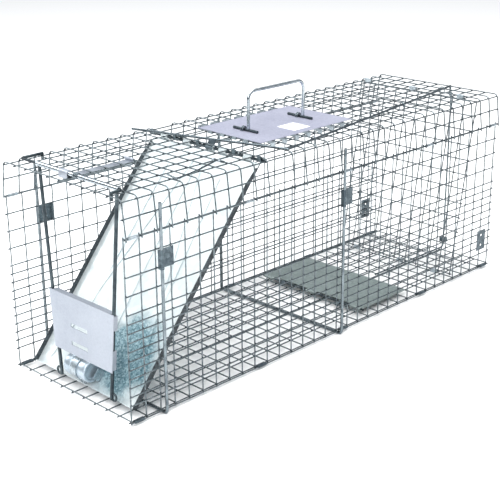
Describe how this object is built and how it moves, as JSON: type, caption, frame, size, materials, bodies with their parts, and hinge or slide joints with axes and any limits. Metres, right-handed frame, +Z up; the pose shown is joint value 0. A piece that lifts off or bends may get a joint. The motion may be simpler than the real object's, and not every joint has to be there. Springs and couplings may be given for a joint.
{
  "type": "live catch cage trap",
  "caption": "Welded wire cage trap with a sloping gravity door, a swinging lock frame, a treadle pan, a trigger rod and a carry handle on a hand guard plate.",
  "frame": {"origin": "on the ground below the middle of the cage's length and width", "axes": "+Z up, +Y along the cage from the entrance to the rear, +X across it"},
  "size_m": [0.2728, 0.8178, 0.3742],
  "materials": {
    "mesh_wire": "bright zinc",
    "rod": "zinc coated",
    "clip_sheet": "galvanised sheet",
    "panel_sheet": "galvanised sheet with spangle",
    "weight": "zinc coated",
    "label": "plain blank"
  },
  "bodies": {
    "cage": {"floor_mesh": "mesh_wire", "left_wall_mesh": "mesh_wire", "right_wall_mesh": "mesh_wire", "roof_mesh": "mesh_wire", "rear_mesh": "mesh_wire", "front_hoop": "rod", "middle_hoop": "rod", "hoop_clips": "clip_sheet", "rear_plates": "clip_sheet", "seam_clips": "clip_sheet", "floor_clips": "clip_sheet", "rear_clips": "clip_sheet", "hand_guard": "panel_sheet", "guard_clips": "clip_sheet", "blank_label": "label", "carry_handle": "rod", "handle_feet": "rod", "handle_staples": "rod", "door_hinge_rod": "rod", "hinge_clips": "clip_sheet", "lock_hangers": "rod", "lock_strap": "clip_sheet", "lock_spring": "rod", "trigger_guides": "rod", "pan_pivot_rod": "rod", "pan_rod_clips": "clip_sheet", "hook_clips": "clip_sheet"},
    "door": {"door_panel": "panel_sheet", "latch_tab": "clip_sheet", "door_weight": "weight", "weight_strap": "clip_sheet", "weight_rivets": "rod"},
    "lock_frame": {"lock_tube": "rod", "left_lock_leg": "rod", "right_lock_leg": "rod", "lock_plate": "panel_sheet"},
    "trigger": {"trigger_rod": "rod", "trip_link": "rod", "link_clip": "clip_sheet"},
    "pan": {"pan": "panel_sheet"},
    "prop_hook": {"prop_hook": "rod"}
  },
  "joints": [
    {"name": "door_swing", "type": "hinge", "parent": "cage", "child": "door", "pos_m": [0, -0.1494, 0.30485], "axis": [-1, 0, 0], "range_deg": [0, 42]},
    {"name": "lock_swing", "type": "hinge", "parent": "cage", "child": "lock_frame", "pos_m": [0.012, -0.3866, 0.3136], "axis": [-1, 0, 0], "range_deg": [0, 67]},
    {"name": "pan_tilt", "type": "hinge", "parent": "cage", "child": "pan", "pos_m": [0, 0.0836, 0.01041], "axis": [1, 0, 0], "range_deg": [0, 8]},
    {"name": "trigger_slide", "type": "slide", "parent": "cage", "child": "trigger", "axis": [0, -1, 0], "range_m": [0, 0.0056]},
    {"name": "hook_swing", "type": "hinge", "parent": "cage", "child": "prop_hook", "pos_m": [0.0868, -0.2089, 0.31268], "axis": [-1, 0, 0], "range_deg": [0, 90]}
  ],
  "couplings": [
    {"joint": "lock_swing", "follows": "door_swing", "ratio": 1.594},
    {"joint": "trigger_slide", "follows": "pan_tilt", "m_per_rad": 0.03939}
  ]
}
